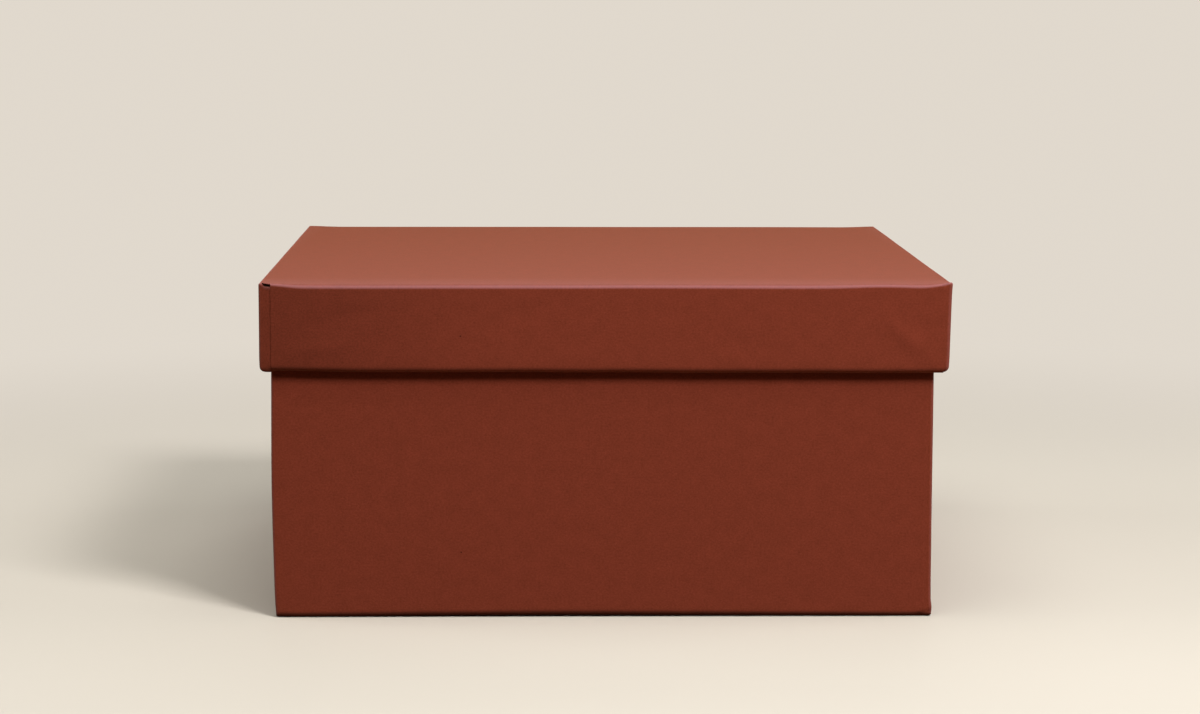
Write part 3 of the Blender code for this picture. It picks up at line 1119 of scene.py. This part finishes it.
def terracotta_paper():
    """Dyed uncoated paper: fine fibres, faint clouds, a few specks, folds scuffed paler with a painted
    highlight, and soil with painted shade in its seams, its notch, its bottom fold and its darkened
    corners.
    """
    look = Finish("terracotta_paper")
    place = look.attribute("paper").outputs["Vector"]
    fibre = look.noise(place, **PAPER_FIBRES)
    cloud = look.noise(place, **PAPER_CLOUDS)
    grain = look.blend(PAPER_CLOUD_SHARE, fibre, cloud)
    colour = look.ramp(grain, *TERRACOTTA)
    colour = look.tint(look.specks(place, **PAPER_PALE_SPECKS), colour, TERRACOTTA_PALE_SPECK)
    colour = look.tint(look.specks(place, **PAPER_DARK_SPECKS), colour, TERRACOTTA_DARK_SPECK)
    # Pale tint: scuffing and painted highlight; near-black tint: soil and painted shade
    pale_tint_share = look.maths("MULTIPLY", look.attribute("wear_and_highlight").outputs["Fac"], WEAR_AND_HIGHLIGHT_SHARE)
    colour = look.tint(pale_tint_share, colour, TERRACOTTA_WEAR_AND_HIGHLIGHT)
    colour = look.tint(look.attribute("shade_and_soil").outputs["Fac"], colour, DARK_SOIL_AND_SHADE)
    look.shader.inputs["Sheen Weight"].default_value = SHEEN_WEIGHT
    look.shader.inputs["Sheen Roughness"].default_value = SHEEN_ROUGHNESS
    look.shader.inputs["Sheen Tint"].default_value = SHEEN_TINT
    return look.finish(colour, grain, roughness=(0.7, 0.9), bump=0.03 * MM, level=0.018)


def lining_paper():
    """Cream lining paper with soft fibres."""
    look = Finish("lining_paper")
    place = look.attribute("paper").outputs["Vector"]
    fibre = look.noise(place, **LINING_FIBRES)
    cloud = look.noise(place, **LINING_CLOUDS)
    grain = look.blend(LINING_CLOUD_SHARE, fibre, cloud)
    colour = look.ramp(grain, *CREAM)
    colour = look.tint(look.specks(place, **LINING_SPECKS), colour, CREAM_SPECK)
    return look.finish(colour, grain, roughness=(0.65, 0.85), bump=0.02 * MM, level=0.25)


def object_place(look):
    """Coordinates that move with a node of the frame."""
    return add_node(look.tree, "ShaderNodeTexCoord").outputs["Object"]


def greyboard():
    """Board of recycled fibres: warm grey with pale and dark flecks."""
    look = Finish("greyboard")
    place = object_place(look)
    grain = look.noise(place, **BOARD_FIBRES)
    colour = look.ramp(grain, *GREY)
    colour = look.tint(look.specks(place, **BOARD_DARK_FLECKS), colour, GREY_DARK_FLECK)
    colour = look.tint(look.specks(place, **BOARD_PALE_FLECKS), colour, GREY_PALE_FLECK)
    return look.finish(colour, grain, roughness=(0.8, 0.95), bump=0.05 * MM, level=0.3)


def kraft_tape():
    """Gummed kraft tape with its lengthwise fibres."""
    look = Finish("kraft_tape")
    grain = look.noise(object_place(look), **TAPE_FIBRES)
    colour = look.ramp(grain, *KRAFT)
    return look.finish(colour, grain, roughness=(0.45, 0.6), bump=0.02 * MM, level=0.4)


def place_camera():
    """The photograph's view."""
    camera = add_object("camera", bpy.data.cameras.new("camera"))
    camera.data.lens = CAMERA_LENS
    camera.data.sensor_width = CAMERA_SENSOR
    camera.data.clip_start, camera.data.clip_end = CAMERA_REACH
    turn = Matrix.Rotation(CAMERA_YAW, 4, "Z") @ Matrix.Rotation(QUARTER_TURN - CAMERA_PITCH, 4, "X")
    camera.matrix_world = Matrix.Translation(CAMERA_PLACE) @ turn @ Matrix.Rotation(CAMERA_ROLL, 4, "Z")
    bpy.context.scene.camera = camera


def add_lamp(name, place, aim_height, size, power, colour):
    """A soft box aimed at the middle of the box."""
    lamp = add_object(name, bpy.data.lights.new(name, "AREA"))
    lamp.visible_camera = False
    lamp.data.size = size
    lamp.data.energy = power
    lamp.data.color = colour
    lamp.location = place
    aim = Vector((0, 0, aim_height)) - Vector(place)
    lamp.rotation_euler = aim.to_track_quat("-Z", "Y").to_euler()


def seen_directly(tree):
    """1 for camera, glossy and transmission rays."""
    path = add_node(tree, "ShaderNodeLightPath")
    total = path.outputs["Is Camera Ray"]
    for name in ("Is Glossy Ray", "Is Transmission Ray"):
        either = add_node(tree, "ShaderNodeMath", operation="MAXIMUM")
        tree.links.new(total, either.inputs[0])
        tree.links.new(path.outputs[name], either.inputs[1])
        total = either.outputs["Value"]
    return total


def make_world():
    """A dim even surround, which shows pale."""
    world = bpy.data.worlds.new("studio")
    world.use_nodes = True
    tree = world.node_tree
    background = tree.nodes["Background"]
    background.inputs["Color"].default_value = (*BACKDROP, 1.0)
    strength = add_node(tree, "ShaderNodeMapRange", {"To Min": SURROUND_LEVEL, "To Max": 1.0})
    tree.links.new(seen_directly(tree), strength.inputs["Value"])
    tree.links.new(strength.outputs["Result"], background.inputs["Strength"])
    bpy.context.scene.world = world


def pale_floor():
    """A pale floor that keeps the shadow nearby and shows the backdrop's colour further away."""
    look = Finish("pale_floor")
    seen = seen_directly(look.tree)
    tones = {COLOUR_A: (*FLOOR_IN_LIGHT, 1.0), COLOUR_B: (*FLOOR_SEEN, 1.0)}
    tone = add_node(look.tree, "ShaderNodeMix", tones, data_type="RGBA")
    look.link(seen, tone.inputs[MIX_FACTOR])
    look.link(tone.outputs[COLOUR_OUT], look.shader.inputs["Base Color"])
    look.shader.inputs["Roughness"].default_value = FLOOR_ROUGHNESS
    look.shader.inputs["Specular IOR Level"].default_value = FLOOR_SHINE
    distance = add_node(look.tree, "ShaderNodeVectorMath", operation="LENGTH")
    look.link(object_place(look), distance.inputs[0])
    ends = {"From Min": FLOOR_FADE[0], "From Max": FLOOR_FADE[1]}
    away = add_node(look.tree, "ShaderNodeMapRange", ends, interpolation_type="SMOOTHSTEP")
    look.link(distance.outputs["Value"], away.inputs["Value"])
    glow = add_node(look.tree, "ShaderNodeEmission", {"Color": (*BACKDROP, 1.0)})
    mix = add_node(look.tree, "ShaderNodeMixShader")
    look.link(look.maths("MULTIPLY", away.outputs["Result"], seen), mix.inputs[0])
    look.link(look.shader.outputs[0], mix.inputs[1])
    look.link(glow.outputs[0], mix.inputs[2])
    look.link(mix.outputs[0], look.tree.nodes["Material Output"].inputs["Surface"])
    return look.material


def lay_floor():
    """A plain pale floor, which throws little light back."""
    bm = bmesh.new()
    bmesh.ops.create_grid(bm, x_segments=1, y_segments=1, size=FLOOR_HALF)
    floor = add_object("floor", make_mesh("floor", bm))
    floor.data.materials.append(pale_floor())


def light_stage():
    """Soft studio light over a pale floor."""
    bpy.context.scene.view_settings.view_transform = "Standard"
    make_world()
    for lamp in LAMPS:
        add_lamp(*lamp)
    lay_floor()


def dress():
    """Makes the papers and gives every node its finish."""
    base = make_base_tray()
    lid = make_lid_tray()
    finishes = {"terracotta_paper": terracotta_paper(), "lining_paper": lining_paper()}
    pieces = [
        (build_cover(base, "base_covering"), "base_wrap", "base", "terracotta_paper"),
        (build_cover(lid, "lid_covering"), "lid_wrap", "lid", "terracotta_paper"),
        (build_wall_lining(base), "base_wall_lining", "base", "lining_paper"),
        (build_panel_lining("base_floor_lining", 1), "base_floor_lining", "base", "lining_paper"),
        (build_panel_lining("lid_top_lining", -1), "lid_top_lining", "lid", "lining_paper"),
    ]
    for piece, node, body, slot in pieces:
        piece.data.materials.clear()
        piece.data.materials.append(finishes[slot])
        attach(piece, body)
        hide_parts(node)
    hidden = {"board": greyboard(), "tape": kraft_tape()}
    for name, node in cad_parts.items():
        for word, material in hidden.items():
            if word in name:
                for slot in node.material_slots:
                    slot.material = material


dress()
place_camera()
light_stage()
